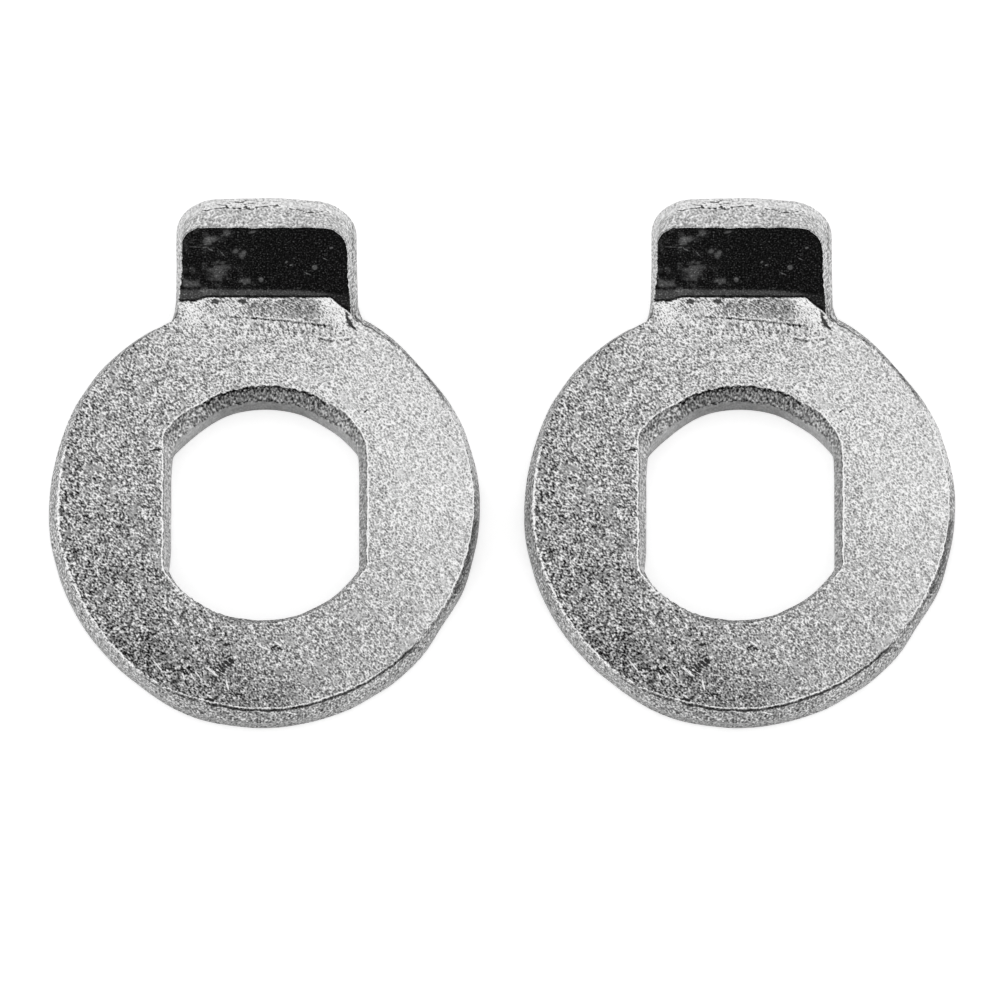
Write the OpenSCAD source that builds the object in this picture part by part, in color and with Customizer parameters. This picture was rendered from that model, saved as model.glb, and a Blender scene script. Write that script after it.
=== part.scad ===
// A pair of torque washers: thick stamped washers with a double-D hole and one tab bent up from the rim.
// Both lie flat side by side with their tabs up and to the rear. Millimetres, +X right, +Y to the tabs, +Z up.
// The origin is under the middle of the pair, on the plane that the washers rest on.

/* [Plate] */
// Diameter of the round plate over its sheared band
outer_diameter = 23.3; // [22:0.1:25]
// Thickness of the steel sheet
sheet_thickness = 3; // [2.6:0.1:3.4]
// How far the torn part of the rim steps in by the upper face
rim_setback = 0.27; // [0.1:0.01:0.4]
// Height at which the rim's sheared band ends and its torn part starts
rim_land_top = 1.5; // [1:0.1:2]
// Radius of the rounded lower edge of the rim
rim_edge_radius = 0.4; // [0.2:0.05:0.6]

/* [Hole] */
// Distance between the two flats of the hole
flats_width = 10.2; // [9.8:0.05:10.6]
// Diameter over the two round sides of the hole
bore_diameter = 12.2; // [11.9:0.05:12.8]
// Height at which the hole's sheared band ends and its flared part starts
hole_land_top = 1.7; // [1:0.1:2.2]
// How far the hole's wall steps back by the upper face
hole_flare = 0.4; // [0.1:0.05:0.6]
// Depth and width of the relief round the hole's lower edge
hole_lower_relief = 0.2; // [0.1:0.05:0.4]

/* [Tab] */
// Width of the tab
tab_width = 9.72; // [8.5:0.02:9.9]
// Distance from the hole's centre to where the tab starts to bend
bend_start = 9.3; // [8.6:0.1:9.8]
// Radius on the inner side of the bend
bend_radius = 2.6; // [2:0.1:3]
// Angle by which the tab is bent up from the plate
bend_angle = 48; // [40:1:60]
// Length of the tab's flat part past the bend
tab_straight = 4.7; // [3.5:0.1:6]
// Radius of the two corners at the tab's end
tab_corner_radius = 2.1; // [1:0.1:3]
// Radius of the fillets between the tab's sides and the rim
root_fillet_radius = 1; // [0.6:0.1:1.4]

/* [Pair] */
// Clear space between the two washers' rims
pair_gap = 2.38; // [1:0.02:6]

/* [Colour] */
// Colour of the steel
steel_colour = [0.62, 0.62, 0.61]; // [0:0.01:1]

/* [Hidden] */
$fn = 96;
// How far cuts run past the faces they go through
cut_margin = 1;
// How far the bent strip runs back into the plate
strip_overlap = 1;
// How far a fillet's arc sinks into the faces it joins
fillet_sink = 0.03;
outer_radius = outer_diameter / 2;
pair_pitch = outer_diameter + pair_gap;
bend_outer_radius = bend_radius + sheet_thickness;
bend_end_y = bend_start + bend_radius * sin(bend_angle);
bend_end_z = sheet_thickness + bend_radius * (1 - cos(bend_angle));
tip_y = bend_start + bend_outer_radius * sin(bend_angle) + tab_straight * cos(bend_angle);
centre_y = (outer_radius - tip_y) / 2;
fillet_centre_x = tab_width / 2 + root_fillet_radius - fillet_sink;
fillet_reach = outer_radius + root_fillet_radius - fillet_sink;
fillet_centre_y = sqrt(fillet_reach * fillet_reach - fillet_centre_x * fillet_centre_x);
fillet_foot_x = fillet_centre_x * outer_radius / fillet_reach;
fillet_foot_y = fillet_centre_y * outer_radius / fillet_reach;

// Half section of the round plate: rounded lower edge, upright sheared band, sloping torn part.
module plate_section() {
    polygon([
        [0, 0],
        [outer_radius - rim_edge_radius, 0],
        [outer_radius - rim_edge_radius, rim_edge_radius],
        [outer_radius, rim_edge_radius],
        [outer_radius, rim_land_top],
        [outer_radius - rim_setback, sheet_thickness],
        [0, sheet_thickness]
    ]);
    intersection() {
        translate([outer_radius - rim_edge_radius, rim_edge_radius])
            circle(r = rim_edge_radius);
        translate([outer_radius - rim_edge_radius, 0])
            square([rim_edge_radius, rim_edge_radius]);
    }
}

// Half width of the hole against height, for a wall that stands the given distance from the middle.
module hole_section(half_width) {
    polygon([
        [0, -cut_margin],
        [half_width + hole_lower_relief, -cut_margin],
        [half_width + hole_lower_relief, 0],
        [half_width, hole_lower_relief],
        [half_width, hole_land_top],
        [half_width + hole_flare, sheet_thickness],
        [half_width + hole_flare, sheet_thickness + cut_margin],
        [0, sheet_thickness + cut_margin]
    ]);
}

// The hole's space: a turned body cut to width by two flats.
module hole_space() {
    intersection() {
        rotate_extrude()
            hole_section(bore_diameter / 2);
        rotate([90, 0, 0])
            linear_extrude(height = bore_diameter + 2 * cut_margin, center = true) {
                hole_section(flats_width / 2);
                mirror([1, 0])
                    hole_section(flats_width / 2);
            }
    }
}

// Side view of the bent strip up to the end of its bend, drawn with Y to the right and Z up.
module bend_profile() {
    translate([bend_start - strip_overlap, 0])
        square([strip_overlap, sheet_thickness]);
    intersection() {
        translate([bend_start, sheet_thickness + bend_radius])
            difference() {
                circle(r = bend_outer_radius);
                circle(r = bend_radius);
            }
        polygon([
            [bend_start, sheet_thickness + bend_radius],
            [bend_start, -cut_margin],
            [
                bend_start + (bend_outer_radius + cut_margin) * tan(bend_angle / 2),
                -cut_margin
            ],
            [
                bend_start + (bend_outer_radius + cut_margin) * sin(bend_angle),
                sheet_thickness + bend_radius - (bend_outer_radius + cut_margin) * cos(bend_angle)
            ]
        ]);
    }
}

// The bend as a body of the given width across the tab.
module bend_body(width) {
    rotate([90, 0, 90])
        linear_extrude(height = width, center = true)
            bend_profile();
}

// Outline of the tab's flat part, square at the bend and rounded at its end.
module tab_outline() {
    translate([-tab_width / 2, 0])
        square([tab_width, tab_straight - tab_corner_radius]);
    translate([tab_corner_radius - tab_width / 2, 0])
        square([tab_width - 2 * tab_corner_radius, tab_straight]);
    for (side = [-1, 1])
        translate([side * (tab_width / 2 - tab_corner_radius), tab_straight - tab_corner_radius])
            circle(r = tab_corner_radius);
}

// The tab: its bend and its flat part, which stands off at the bend angle.
module tab() {
    bend_body(tab_width);
    translate([0, bend_end_y, bend_end_z])
        rotate([bend_angle, 0, 0])
            translate([0, 0, -sheet_thickness])
                linear_extrude(height = sheet_thickness)
                    tab_outline();
}

// The two fillets where the tab's sides run into the rim. They follow the bend.
module root_fillets() {
    intersection() {
        bend_body(2 * fillet_centre_x);
        for (side = [0, 1])
            mirror([side, 0, 0])
                linear_extrude(height = bend_outer_radius + sheet_thickness)
                    difference() {
                        polygon([
                            [tab_width / 2 - fillet_sink, bend_start - strip_overlap],
                            [fillet_foot_x, bend_start - strip_overlap],
                            [fillet_foot_x, fillet_foot_y],
                            [tab_width / 2 - fillet_sink, fillet_centre_y]
                        ]);
                        translate([fillet_centre_x, fillet_centre_y])
                            circle(r = root_fillet_radius);
                    }
    }
}

// One washer about its hole's axis, lying on Z = 0 with its tab up.
module washer() {
    difference() {
        union() {
            difference() {
                rotate_extrude()
                    plate_section();
                translate([-tab_width / 2, bend_start, -cut_margin])
                    cube([tab_width, outer_radius, sheet_thickness + 2 * cut_margin]);
            }
            tab();
            root_fillets();
        }
        hole_space();
    }
}

module left_washer() {
    color(steel_colour)
        translate([-pair_pitch / 2, centre_y, 0])
            washer();
}

module right_washer() {
    color(steel_colour)
        translate([pair_pitch / 2, centre_y, 0])
            washer();
}

left_washer();
right_washer();
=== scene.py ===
import math

import bpy
import numpy as np
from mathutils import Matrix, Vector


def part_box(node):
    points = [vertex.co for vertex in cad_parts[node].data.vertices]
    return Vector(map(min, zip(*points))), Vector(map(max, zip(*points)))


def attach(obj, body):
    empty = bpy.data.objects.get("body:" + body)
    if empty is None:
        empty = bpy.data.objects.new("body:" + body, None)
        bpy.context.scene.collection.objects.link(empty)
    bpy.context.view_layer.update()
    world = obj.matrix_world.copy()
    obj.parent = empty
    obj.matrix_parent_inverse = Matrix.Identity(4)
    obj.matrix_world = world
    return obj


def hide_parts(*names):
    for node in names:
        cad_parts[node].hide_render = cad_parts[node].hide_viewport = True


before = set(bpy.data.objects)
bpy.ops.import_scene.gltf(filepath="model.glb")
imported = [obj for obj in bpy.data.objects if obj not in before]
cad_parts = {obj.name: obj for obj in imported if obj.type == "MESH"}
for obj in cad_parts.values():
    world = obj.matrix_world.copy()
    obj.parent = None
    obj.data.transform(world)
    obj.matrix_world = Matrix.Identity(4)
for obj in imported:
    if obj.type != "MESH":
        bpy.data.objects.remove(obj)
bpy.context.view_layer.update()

# The pair of torque washers. Each washer is one mesh: a stamped blank is laid out flat, as it leaves
# the press, and its tab is then bent up. Lengths of the washer are in millimetres until the mesh is made.
MM = 0.001
WASHERS = ("left_washer", "right_washer")

# Radius of the solid washer's plate, from whose front the hole's centre is found
SOLID_RADIUS = 11.65

# The blank, as its sheared band and as its upper face, which is a little smaller
THICKNESS = 3.0
PLATE_RADIUS = 11.62
FACE_RADIUS = 11.27
FLATS_HALF = 5.08
BORE_RADIUS = 6.1
HOLE_FLARE = 0.39
TAB_SIDES = (-4.76, 4.95)
TAB_FACE_SIDES = (-4.52, 4.49)
TAB_CORNERS = (2.2, 2.4)
TAB_FACE_CORNERS = (1.15, 1.5)
ROOT_FILLETS = (0.2, 0.12)
ROOT_FACE_FILLETS = (0.9, 0.9)
RIM_LAND_TOP = 1.45
HOLE_LAND_TOP = 1.75
RIM_ROUND = 0.42
HOLE_ROUND = 0.2
EDGE_ROUND = 0.05

# How much shorter the tab is on its upper face, how far its end falls back at the left and the right, and
# how much lower the sheared band stops there
TAB_FACE_SHORT = 0.1
TAB_END_DROPS = (0.06, 0.16)
TAB_LAND_DROP = 0.25

# Where the hole's sheared band stands higher at its rear left, in X and in Y, and by how much
RAISED_X = (-2.6, -4.2)
RAISED_Y = (1.5, 3.2)
RAISED_HEIGHT = 0.40

# Distance along Y from the hole's centre over which its flats give way to its round sides
FLATS_END = (3.2, 3.8)

# The bend
BEND_START = 9.3
BEND_RADIUS = 2.6
BEND_ANGLE = math.radians(48.0)
TAB_STRAIGHT = 4.71
TAB_END = BEND_START + BEND_RADIUS * BEND_ANGLE + TAB_STRAIGHT

# Beside the tab the bend's pull ends within PULL_REACH. Right of it a share fades out slowly.
PULL_REACH = 0.35
SHOULDER_SHARE = 0.38
SHOULDER_REACH = (0.3, 3.0)

# Marks of the bending tool: the crease and the lip above it, the second crease with its ends and their
# softness in X, the slanting ribs, and the pulled facets with their hairlines
CREASE_DEPTH = 0.045
LIP_HEIGHT = 0.025
SECOND_CREASE_DEPTH = 0.03
SECOND_CREASE_SPAN = (2.9, 4.6, 0.2)
RIB_HALF_HEIGHT = 0.012
RIB_PITCH = 0.33
RIGHT_FACET_HEIGHT = 0.06
LEFT_FACET_HEIGHT = 0.05
HAIR_PITCH = 0.15

# Depth of the dark nicks and height of the bright ones, and height of the burr inside the rim
NICK_DEPTH = 0.05
NICK_HEIGHT = 0.02
BURR_HEIGHT = 0.05

# Blank Y at which the tab's pressed face starts
PRESSED_FOOT = 11.53

# How far the plated grain's long way is turned clockwise from X, and how far one step of a noise's seed
# moves it in X, Y and Z
GRAIN_TURN = math.radians(47.0)
SEED_STEPS = (17.3, 9.1, 5.7)

# Depths of the bump and roughness of the surfaces
GRAIN_DEPTH = 0.03
TORN_DEPTH = 0.04
PLATED_ROUGHNESS = 0.48
PRESSED_ROUGHNESS = 0.30
SHEARED_ROUGHNESS = 0.42

# Tones are shades as they look: what a tone of 1 comes to, the darkest, the gamma that makes them linear,
# the lightest of the plating under its painted light, without its grain and marks, and those of the nicks
TONE_WHITE = 0.93
TONE_BLACK = 0.02
GAMMA = 2.2
LIGHTEST_PAINTED_LIGHT = 0.94
BRIGHT_NICK_TONE = 1.08
DARK_NICK_TONE = 0.20

# Where the stamped outline leaves its true circle: middle and half width in degrees from +X, and height
LAND_SWELLS = (
    (-112, 18, 0.12), (-92, 46, 0.22), (-46, 9, -0.04), (-34, 13, -0.17), (-18, 28, -0.13), (27, 9, 0.05),
    (56, 13, 0.21), (124, 9, 0.05), (138, 40, 0.20), (-178, 30, 0.06),
)
FACE_SWELLS = (
    (-168, 20, 0.05), (-128, 40, 0.27), (-119, 17, 0.15), (-88, 34, 0.22), (-60, 16, 0.06), (0, 26, 0.07),
    (54, 16, 0.04), (138, 36, 0.16),
)
HOLE_FACE_SWELLS = (
    (-132, 22, 0.13), (-107, 18, 0.18), (-87, 32, 0.13), (90, 58, 0.08), (136, 15, 0.24), (48, 14, 0.06),
    (32, 8, -0.10),
)
HOLE_LAND_SWELLS = (
    (90, 75, -0.12), (132, 28, -0.17), (60, 14, -0.05), (46, 24, -0.06), (-130, 32, 0.30), (-107, 20, 0.12),
    (-86, 26, 0.10),
)

# Columns round the blank, one count for each stretch of the loop. The hole's loop starts at the angle of
# the tab's right root.
ARC_COLUMNS = (50, 130, 240, 130, 50)
TAB_COLUMNS = (14, 46, 24, 66, 24, 46, 14)
START_ANGLE = math.radians(66.0)

# Steps from ring to ring up the hole's wall, over its rounded edge, sheared band and torn flare, and down
# the rim's wall, over its torn part, sheared band and rounded edge, then rings over the upper face and
# steps under the lower face
HOLE_STEPS = (3, 3, 9)
RIM_STEPS = (10, 3, 5)
FACE_RINGS = 66
UNDER_STEPS = 7

# Rounds of averaging that ease the hole's corners
CORNER_ROUNDS = 12

# Stands for a point's distance from an edge that it has nothing to do with
FAR = 5.0

# Nicks in the upper face, each with middle X and Y from the hole's centre, direction in degrees, length
# and width. The hatch is a ladder of short parallel strokes.
HATCH = (
    (-2.60, -9.36, -30, 0.72, 0.10), (-2.46, -9.27, -38, 0.62, 0.11), (-2.33, -9.17, -42, 0.66, 0.13),
    (-2.18, -9.04, -44, 0.60, 0.14), (-2.01, -8.93, -46, 0.52, 0.22), (-1.80, -8.76, -36, 0.38, 0.24),
)
DARK_NICKS = HATCH + (
    (-2.25, -8.46, 90, 0.30, 0.10), (-2.01, -8.55, 22, 0.36, 0.09), (-2.39, -7.65, 12, 0.46, 0.09),
    (-2.08, -7.87, 12, 0.32, 0.16), (-2.10, -7.28, 80, 0.22, 0.12), (-2.71, -7.36, 20, 0.26, 0.13),
    (-3.65, -7.80, -15, 0.24, 0.14), (-4.40, -9.25, -10, 0.34, 0.11), (-4.05, -9.27, -35, 0.36, 0.09),
    (-5.05, -9.22, 0, 0.60, 0.08), (-3.35, -9.48, 80, 0.26, 0.09), (0.55, -7.98, 25, 0.34, 0.12),
    (0.82, -8.10, -20, 0.40, 0.12), (-1.82, -10.62, -30, 0.42, 0.10), (-1.32, -10.64, 4, 0.52, 0.10),
    (-2.92, -10.93, -15, 0.40, 0.16), (4.88, -0.95, -30, 0.60, 0.09), (-5.90, 3.00, 4, 0.80, 0.10),
    (5.42, 5.15, 40, 0.28, 0.09), (-2.72, 11.27, -20, 0.44, 0.34), (-1.24, 11.30, 0, 0.52, 0.28),
    # The three on the next line darken the tab's right root, where a facet faces away: partly painted shade,
    # kept as dents too
    (4.44, 10.36, -78, 0.56, 0.17), (4.58, 10.06, -60, 0.56, 0.25), (4.76, 9.84, -38, 0.36, 0.17),
    (0.42, -8.02, 35, 0.26, 0.10), (-4.62, -9.30, -8, 0.30, 0.10), (-4.20, -9.44, -40, 0.36, 0.08),
    (-5.40, -9.30, -35, 0.36, 0.08),
)
BRIGHT_NICKS = (
    (-2.84, -9.38, -39, 0.90, 0.12), (-2.40, -9.36, -38, 0.60, 0.08), (-2.26, -9.25, -40, 0.58, 0.08),
    (-2.08, -9.13, -42, 0.55, 0.09), (-1.92, -8.99, -44, 0.48, 0.08), (-2.02, -10.10, -78, 0.72, 0.11),
    (-5.76, -9.08, -51, 0.90, 0.09), (-0.02, -8.06, -22, 0.78, 0.10), (0.70, -7.82, -35, 0.50, 0.10),
    (0.92, -7.68, -50, 0.32, 0.10), (-4.84, -6.60, -48, 0.75, 0.08), (-3.42, -6.45, -45, 0.50, 0.08),
    (-5.35, -5.85, -35, 0.50, 0.08), (-4.38, -9.66, -75, 0.45, 0.08), (-3.90, -9.65, -60, 0.45, 0.08),
    (6.90, -2.75, 45, 0.45, 0.07), (-3.00, -10.75, -30, 0.35, 0.10), (-3.62, -9.55, -50, 0.50, 0.08),
)

# Broad darker places of the upper face, in the same form
SHADES = ((-6.10, -8.05, -35, 2.20, 1.10), (-4.15, -10.05, -20, 2.40, 1.00), (-7.60, -1.20, 70, 2.00, 0.90))

# Marks on the pressed face of the tab, in the same form
SMEARS = (
    (-2.05, 15.67, 0, 0.62, 0.54), (-2.95, 15.28, 20, 0.95, 0.50), (-1.64, 14.56, 0, 0.38, 0.30),
    (-1.23, 14.27, 60, 0.50, 0.34), (-2.52, 13.20, 60, 1.25, 0.90), (-4.00, 12.42, 0, 0.95, 0.55),
    (-1.00, 12.62, 0, 0.60, 0.40), (-0.69, 15.77, 15, 0.55, 0.16),
)
SPOTS = (
    (-0.22, 12.70, 0, 0.30, 0.33), (2.68, 13.48, 20, 0.32, 0.36), (3.58, 14.74, 0, 0.24, 0.15),
    (1.42, 13.63, 10, 0.26, 0.11), (1.15, 13.82, 60, 0.20, 0.14), (3.24, 14.02, -30, 0.34, 0.07),
    (2.30, 13.08, -25, 0.48, 0.08), (-2.95, 14.62, -30, 0.34, 0.10),
)
SCRATCHES = (
    (-3.66, 14.79, -3, 1.25, 0.07), (-2.36, 14.43, -52, 0.85, 0.05), (-3.30, 14.95, 12, 0.80, 0.05),
)

# The crack along the tab's end, piece by piece, in the same form but with Z in place of Y
CRACK = (
    (-3.27, 1.24, 41, 0.34, 0.08), (-2.85, 1.28, -11, 0.62, 0.07), (-2.30, 1.19, -7, 0.52, 0.08),
    (-2.35, 0.89, 11, 0.55, 0.06), (-2.05, 1.08, 60, 0.26, 0.11), (-1.57, 1.28, 5, 0.48, 0.06),
    (-1.17, 1.22, -18, 0.38, 0.08), (-0.93, 1.24, 50, 0.32, 0.14), (-1.51, 0.66, 11, 0.34, 0.10),
    (-1.21, 0.63, -31, 0.38, 0.07), (-0.99, 0.86, -12, 0.55, 0.06), (-0.43, 1.24, -37, 0.28, 0.14),
    (-0.06, 1.14, -6, 0.60, 0.09), (0.43, 1.10, 0, 0.44, 0.08), (0.65, 1.06, -65, 0.26, 0.12),
    (1.47, 1.29, 19, 0.40, 0.09), (1.91, 1.36, 12, 0.56, 0.07), (2.45, 1.48, 4, 0.58, 0.10),
    (3.02, 1.33, -28, 0.54, 0.05),
)


def smoothstep(low, high, value):
    """0 below low, 1 above high, and a cubic ease between them."""
    t = np.clip((value - low) / (high - low), 0.0, 1.0)
    return t * t * (3.0 - 2.0 * t)


def window(low, high, soft, value):
    """1 between low and high, easing to 0 over soft at either end."""
    return smoothstep(low - soft, low + soft, value) * (1 - smoothstep(high - soft, high + soft, value))


def lattice(u, v, cells_u, cells_v, seed):
    """Smooth noise from -1 to 1: random values on a grid that repeats along u, eased between grid points."""
    grid = np.random.default_rng(seed).uniform(-1.0, 1.0, (cells_u, cells_v + 2))
    x = np.mod(u, 1.0) * cells_u
    y = np.clip(v, 0.0, 1.0) * cells_v
    i = np.floor(x).astype(int)
    j = np.minimum(np.floor(y).astype(int), cells_v)
    fx = smoothstep(0.0, 1.0, x - i)
    fy = smoothstep(0.0, 1.0, y - j)
    i = i % cells_u
    i2 = (i + 1) % cells_u
    low = grid[i, j] * (1 - fx) + grid[i2, j] * fx
    high = grid[i, j + 1] * (1 - fx) + grid[i2, j + 1] * fx
    return low * (1 - fy) + high * fy


def round_noise(u, cells, seed):
    """The same noise along u alone, which runs once round the washer."""
    return lattice(u, 0 * u, cells, 1, seed)


def bell(value, half):
    """A bell about 0: e to minus the square of the value over the half width."""
    return np.exp(-(value / half) ** 2)


def arc(centre, radius, start, end, count):
    """Points of a circular arc between two angles in radians, without its last point."""
    angle = np.linspace(start, end, count, endpoint=False)
    return np.stack([centre[0] + radius * np.cos(angle), centre[1] + radius * np.sin(angle)], 1)


def line(start, end, count):
    """Evenly spaced points of a straight line, without its last point."""
    t = np.linspace(0.0, 1.0, count, endpoint=False)[:, None]
    return np.array(start) * (1 - t) + np.array(end) * t


def hole_corner(flat, radius):
    """Angle from X at which a circle meets a flat that stands the given distance from the middle."""
    return math.acos(flat / radius)


def outline(radius, sides, end, corners, fillets):
    """Clockwise loop round the blank: plate arc, fillet, tab side, corner, end, corner, side, fillet. The
    sides, corner radii and fillet radii are given as left and right."""
    left, right = sides
    left_corner, right_corner = corners
    left_fillet, right_fillet = fillets
    left_x = left - left_fillet
    left_y = math.sqrt((radius + left_fillet) ** 2 - left_x ** 2)
    left_foot = math.atan2(left_y, left_x)
    right_x = right + right_fillet
    right_y = math.sqrt((radius + right_fillet) ** 2 - right_x ** 2)
    right_foot = math.atan2(right_y, right_x)
    c = hole_corner(FLATS_HALF, BORE_RADIUS)
    turns = (right_foot, c, -c, c - math.pi, -math.pi - c, left_foot - 2 * math.pi)
    parts = [arc((0, 0), radius, turns[k], turns[k + 1], n) for k, n in enumerate(ARC_COLUMNS)]
    n = TAB_COLUMNS
    parts += [
        arc((left_x, left_y), left_fillet, left_foot - math.pi, 0.0, n[0]),
        line((left, left_y), (left, end - left_corner), n[1]),
        arc((left + left_corner, end - left_corner), left_corner, math.pi, math.pi / 2, n[2]),
        line((left + left_corner, end), (right - right_corner, end), n[3]),
        arc((right - right_corner, end - right_corner), right_corner, math.pi / 2, 0.0, n[4]),
        line((right, end - right_corner), (right, right_y), n[5]),
        arc((right_x, right_y), right_fillet, math.pi, right_foot + math.pi, n[6]),
    ]
    return np.concatenate(parts)


def hole(flat, radius):
    """Clockwise loop round a double D, in step with the outline: flats at left and right, arcs between.
    The corners are eased by averaging neighbours."""
    c = hole_corner(flat, radius)
    y = radius * math.sin(c)
    n = ARC_COLUMNS
    loop = np.concatenate([
        arc((0, 0), radius, START_ANGLE, c, n[0]),
        line((flat, y), (flat, -y), n[1]),
        arc((0, 0), radius, -c, c - math.pi, n[2]),
        line((-flat, -y), (-flat, y), n[3]),
        arc((0, 0), radius, math.pi - c, math.pi - START_ANGLE, n[4]),
        arc((0, 0), radius, math.pi - START_ANGLE, START_ANGLE, sum(TAB_COLUMNS)),
    ])
    for _ in range(CORNER_ROUNDS):
        loop = (np.roll(loop, 1, 0) + 2 * loop + np.roll(loop, -1, 0)) / 4
    return loop


def loop_normals(loop):
    """Unit vectors square to a clockwise loop, pointing away from what it encloses."""
    along = np.roll(loop, -1, 0) - np.roll(loop, 1, 0)
    along /= np.linalg.norm(along, axis=1)[:, None]
    return np.stack([-along[:, 1], along[:, 0]], 1)


def swelled(loop, outward, swells):
    """A loop moved along its normals by smooth rises, each a squared cosine over an arc about the middle."""
    angle = np.degrees(np.arctan2(loop[:, 1], loop[:, 0]))
    rise = np.zeros(len(loop))
    for middle, half, height in swells:
        away = np.abs((angle - middle + 180.0) % 360.0 - 180.0)
        rise += height * np.cos(np.clip(away / half, 0.0, 1.0) * math.pi / 2) ** 2
    return loop + outward * rise[:, None]


def bowed(loop, left_drop, right_drop):
    """A loop whose tab end falls away on either side of its middle."""
    x, y = loop[:, 0], loop[:, 1]
    drop = left_drop * smoothstep(0.0, 3.0, -x) + right_drop * smoothstep(0.0, 3.0, x)
    return np.stack([x, y - drop * smoothstep(TAB_END - 2.4, TAB_END - 0.6, y)], 1)


def crease_line(x):
    """Blank Y of the crease that the bending tool left across the foot of the tab: a flat parabola."""
    return 10.28 - 0.085 * x - 0.008 * x * x


def second_crease(x):
    """Blank Y of the shorter crease in front of the tab's right end, a parabola that sags."""
    return 9.10 + 0.18 * (x - 3.8) * (x - 3.8)


def rib_place(x, y):
    """Distance across the tool's ribs. They stand upright at the right and lean further to the left."""
    return x + 0.15 * (y - 9.75) * (3.8 - x)


def dents(x, y):
    """Height of the nicks. The dark ones are dents and the bright ones ridges, each with a flat middle and
    steep sides: its rise times e to minus the fourth power of the distance in its oval's own frame."""
    height = np.zeros_like(x)
    for table, rise in ((DARK_NICKS, -NICK_DEPTH), (BRIGHT_NICKS, NICK_HEIGHT)):
        for middle_x, middle_y, direction, length, width in table:
            c = math.cos(math.radians(direction))
            s = math.sin(math.radians(direction))
            along = ((x - middle_x) * c + (y - middle_y) * s) * 2 / length
            across = ((y - middle_y) * c - (x - middle_x) * s) * 2 / width
            height += rise * np.exp(-(along ** 2 + across ** 2) ** 2)
    return height


def relief(x, y):
    """Height of the upper face's own unevenness: the crease with a lip above it, a second shorter crease,
    the tool's ribs between them, the pulled facets at either end of the bend, and the nicks."""
    above = y - crease_line(x)
    height = LIP_HEIGHT * bell(above - 0.09, 0.06) - CREASE_DEPTH * bell(above, 0.05)
    height *= window(-2.4, 3.4, 0.5, x)
    height -= SECOND_CREASE_DEPTH * bell(y - second_crease(x), 0.05) * window(*SECOND_CREASE_SPAN, x)
    ribs = np.sin(2 * math.pi * rib_place(x, y) / RIB_PITCH)
    height += RIB_HALF_HEIGHT * ribs * window(9.4, 10.05, 0.1, y) * window(-1.0, 4.3, 0.4, x)
    height += RIGHT_FACET_HEIGHT * window(3.3, 4.4, 0.35, x) * window(9.7, 11.0, 0.4, y)
    height += LEFT_FACET_HEIGHT * window(-4.4, -3.4, 0.35, x) * window(9.8, 11.0, 0.4, y)
    return height + dents(x, y)


def blank_loops(u):
    """The loops that the blank is drawn between, for its rim and for its hole: the sheared band, the upper
    edge, and unit vectors that point out of the steel. Swells and noise move them off their drawn lines,
    and the tab's upper face flares at its root."""
    rim_land = outline(PLATE_RADIUS, TAB_SIDES, TAB_END, TAB_CORNERS, ROOT_FILLETS)
    face_end = TAB_END - TAB_FACE_SHORT
    rim_face = outline(FACE_RADIUS, TAB_FACE_SIDES, face_end, TAB_FACE_CORNERS, ROOT_FACE_FILLETS)
    hole_land = hole(FLATS_HALF, BORE_RADIUS)
    hole_face = hole(FLATS_HALF + HOLE_FLARE, BORE_RADIUS + HOLE_FLARE)
    rim_out = loop_normals(rim_land)
    hole_out = -loop_normals(hole_land)

    rim_land = swelled(bowed(rim_land, *TAB_END_DROPS), rim_out, LAND_SWELLS)
    rim_face = swelled(rim_face, rim_out, FACE_SWELLS)
    flare = 0.16 * (1 - smoothstep(10.8, 13.6, rim_face[:, 1])) * smoothstep(9.0, 11.0, rim_face[:, 1])
    rim_face[:, 0] += np.sign(rim_face[:, 0]) * flare
    hole_land = swelled(hole_land, -hole_out, HOLE_LAND_SWELLS)
    hole_face = swelled(hole_face, -hole_out, HOLE_FACE_SWELLS)
    rear = smoothstep(1.0, 4.0, hole_face[:, 1])
    rim_land = rim_land + rim_out * (0.025 * round_noise(u, 60, 3))[:, None]
    rim_face = rim_face + rim_out * (0.03 * round_noise(u, 260, 4))[:, None]
    jag = round_noise(u, 190, 5) * 0.035 + round_noise(u, 90, 13) * 0.05 * rear
    hole_face = hole_face - hole_out * jag[:, None]
    return (rim_land, rim_face, rim_out), (hole_land, hole_face, hole_out)


def hole_wall(u, land, face, out):
    """Rings up the hole's wall: rounded lower edge, sheared band, torn flare, upper edge. Each ring here and
    below is its X and Y, its Z, and its distances from the rim's and from the hole's upper edge."""
    round_steps, band_steps, torn_steps = HOLE_STEPS
    band = HOLE_LAND_TOP + 0.10 * round_noise(u, 70, 6) + 0.06 * round_noise(u, 25, 7)
    band += RAISED_HEIGHT * smoothstep(*RAISED_X, land[:, 0]) * smoothstep(*RAISED_Y, land[:, 1])
    rings = []
    for k in range(round_steps + 1):
        a = math.pi / 2 * k / round_steps
        z = HOLE_ROUND * (1 - math.cos(a))
        rings.append((land - out * HOLE_ROUND * (1 - math.sin(a)), z, FAR, z - THICKNESS))
    for k in range(1, band_steps + 1):
        z = HOLE_ROUND + (band - HOLE_ROUND) * k / band_steps
        rings.append((land, z, FAR, z - THICKNESS))
    for k in range(1, torn_steps):
        g = k / torn_steps
        z = band + (THICKNESS - EDGE_ROUND - band) * g
        rough = 0.05 * lattice(u, 0 * u + g, 300, 6, 8) * math.sin(math.pi * g) ** 0.5
        rings.append((land * (1 - g) + face * g - out * rough[:, None], z, FAR, z - THICKNESS))
    for step, drop in ((0.0, 1.0), (0.3, 0.3)):
        fall = -EDGE_ROUND * drop
        rings.append((face - out * EDGE_ROUND * step, THICKNESS + fall, FAR, fall))
    return rings


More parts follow.
